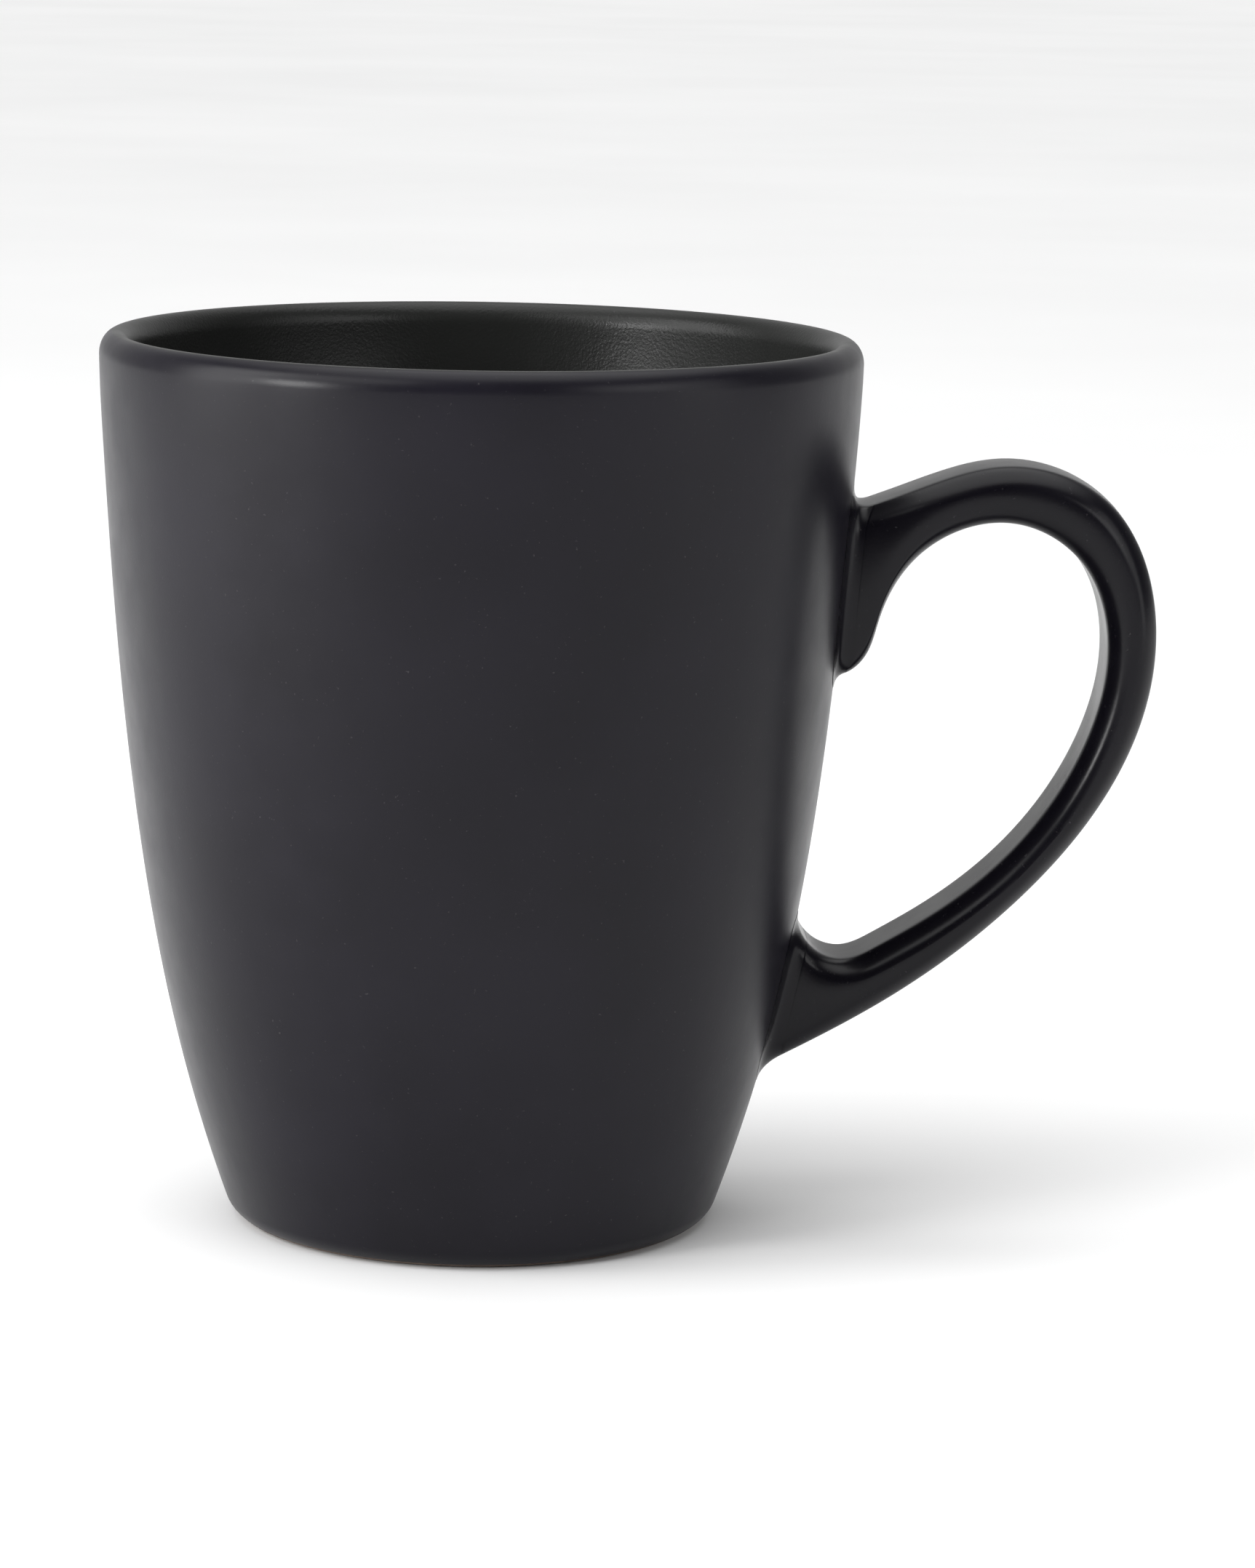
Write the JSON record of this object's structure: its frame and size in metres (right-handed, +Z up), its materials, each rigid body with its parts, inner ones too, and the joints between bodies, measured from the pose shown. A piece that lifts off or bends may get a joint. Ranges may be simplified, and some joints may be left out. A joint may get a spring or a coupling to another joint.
{
  "type": "mug",
  "caption": "Round stoneware mug that widens from a small foot ring to a rounded lip, with a strap handle on one side and a matt dark glaze.",
  "frame": {"origin": "centre of the foot ring on the plane it stands on, on the mug's own axis", "axes": "+Z up along the mug's axis, +X towards the handle, +Y across the handle"},
  "size_m": [0.1227, 0.088, 0.1038],
  "materials": {
    "stoneware": "matt",
    "charcoal_glaze": "satin"
  },
  "bodies": {
    "root": {"mug_body": "stoneware", "handle": "stoneware", "upper_slip_bead": "charcoal_glaze", "lower_slip_bead": "charcoal_glaze", "mug_glaze": "charcoal_glaze", "handle_glaze": "charcoal_glaze", "base_glaze": "charcoal_glaze"}
  },
  "joints": []
}
